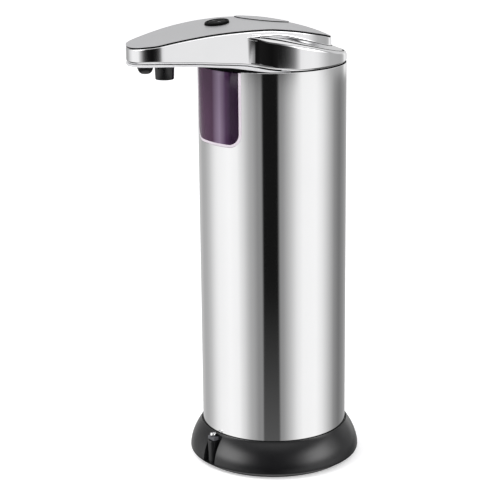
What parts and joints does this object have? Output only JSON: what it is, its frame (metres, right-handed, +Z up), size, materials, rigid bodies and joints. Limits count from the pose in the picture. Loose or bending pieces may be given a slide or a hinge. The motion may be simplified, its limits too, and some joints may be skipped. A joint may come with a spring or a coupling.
{
  "type": "automatic soap dispenser",
  "caption": "Free-standing touch-free soap dispenser: a polished steel tube on a black flared base, with a beak-shaped chrome head, a sensor window and a filler lid.",
  "frame": {"origin": "middle of the underside, on the tube's axis, at the level the feet rest on", "axes": "+Z up along the tube's axis, -Y towards the spout, +X to the right as seen facing the spout"},
  "size_m": [0.0768, 0.1117, 0.2008],
  "materials": {
    "polished_steel": "polished stainless steel",
    "chrome": "bright chrome plating",
    "satin_grey": "satin grey coating",
    "pale_plastic": "pale satin plastic",
    "black_plastic": "satin black plastic",
    "frame_plastic": "matte dark plastic",
    "rubber": "matte black rubber",
    "purple_window": "purple tinted clear plastic",
    "clear_plastic": "clear moulded plastic",
    "white_nylon": "white nylon",
    "contact_metal": "plated spring metal",
    "cell_jacket": "plain printed jacket",
    "circuit_board": "green circuit board"
  },
  "bodies": {
    "dispenser": {"steel_tube": "polished_steel", "sensor_window": "purple_window", "base_ring": "black_plastic", "base_gasket": "rubber", "foot_ring": "rubber", "base_screw": "chrome", "battery_1": "cell_jacket", "battery_2": "cell_jacket", "battery_3": "cell_jacket", "battery_4": "cell_jacket", "contact_bridge": "contact_metal", "contact_positive": "contact_metal", "contact_negative": "contact_metal", "chassis": "frame_plastic", "motor_can": "polished_steel", "motor_end_cap": "frame_plastic", "pump_housing": "frame_plastic", "pump_cover": "frame_plastic", "idler_pin": "polished_steel", "inlet_seal": "rubber", "inlet_strainer": "frame_plastic", "reservoir": "clear_plastic", "tank_gasket": "rubber", "tank_cover": "frame_plastic", "neck_seal": "rubber", "filler_neck": "clear_plastic", "outlet_hose": "clear_plastic", "power_lead": "black_plastic", "head_lead": "black_plastic", "sensor_board": "circuit_board", "sensor_shroud": "black_plastic", "ir_emitter": "purple_window", "ir_receiver": "purple_window", "head_shell": "chrome", "top_panel": "satin_grey", "arm_underplate": "pale_plastic", "head_screw_left": "polished_steel", "head_screw_right": "polished_steel", "nozzle": "black_plastic", "nozzle_valve": "rubber", "sensor_barrel": "black_plastic", "sensor_lens": "purple_window", "button_bezel": "black_plastic", "plus_switch": "black_plastic", "minus_switch": "black_plastic", "button_board": "circuit_board"},
    "filler_lid": {"filler_lid": "satin_grey", "lid_plug": "rubber", "lid_seal": "rubber"},
    "plus_button": {"plus_button": "black_plastic"},
    "minus_button": {"minus_button": "black_plastic"},
    "battery_door": {"battery_door": "black_plastic", "door_pad": "rubber", "door_seal": "rubber", "door_contact_left": "contact_metal", "door_contact_right": "contact_metal"},
    "pump_rotor": {"motor_shaft": "polished_steel", "drive_gear": "white_nylon"},
    "pump_idler": {"idler_gear": "white_nylon"}
  },
  "joints": [
    {"name": "filler_lid_lift", "type": "slide", "parent": "dispenser", "child": "filler_lid", "axis": [0, 0, 1], "range_m": [0, 0.03]},
    {"name": "plus_button_press", "type": "slide", "parent": "dispenser", "child": "plus_button", "axis": [0, 0, -1], "range_m": [0, 0.0006], "stiffness_N_per_m": 200},
    {"name": "minus_button_press", "type": "slide", "parent": "dispenser", "child": "minus_button", "axis": [0, 0, -1], "range_m": [0, 0.0006], "stiffness_N_per_m": 200},
    {"name": "battery_door_twist", "type": "hinge", "parent": "dispenser", "child": "battery_door", "pos_m": [0, 0, 0.0047], "axis": [0, 0, 1], "range_deg": [0, 40]},
    {"name": "pump_spin", "type": "hinge", "parent": "dispenser", "child": "pump_rotor", "pos_m": [-0.0045, -0.004, 0.045], "axis": [0, 0, 1], "continuous": true},
    {"name": "idler_spin", "type": "hinge", "parent": "dispenser", "child": "pump_idler", "pos_m": [0.0045, -0.004, 0.045], "axis": [0, 0, 1], "continuous": true}
  ],
  "couplings": [
    {"joint": "idler_spin", "follows": "pump_spin", "ratio": -1}
  ]
}
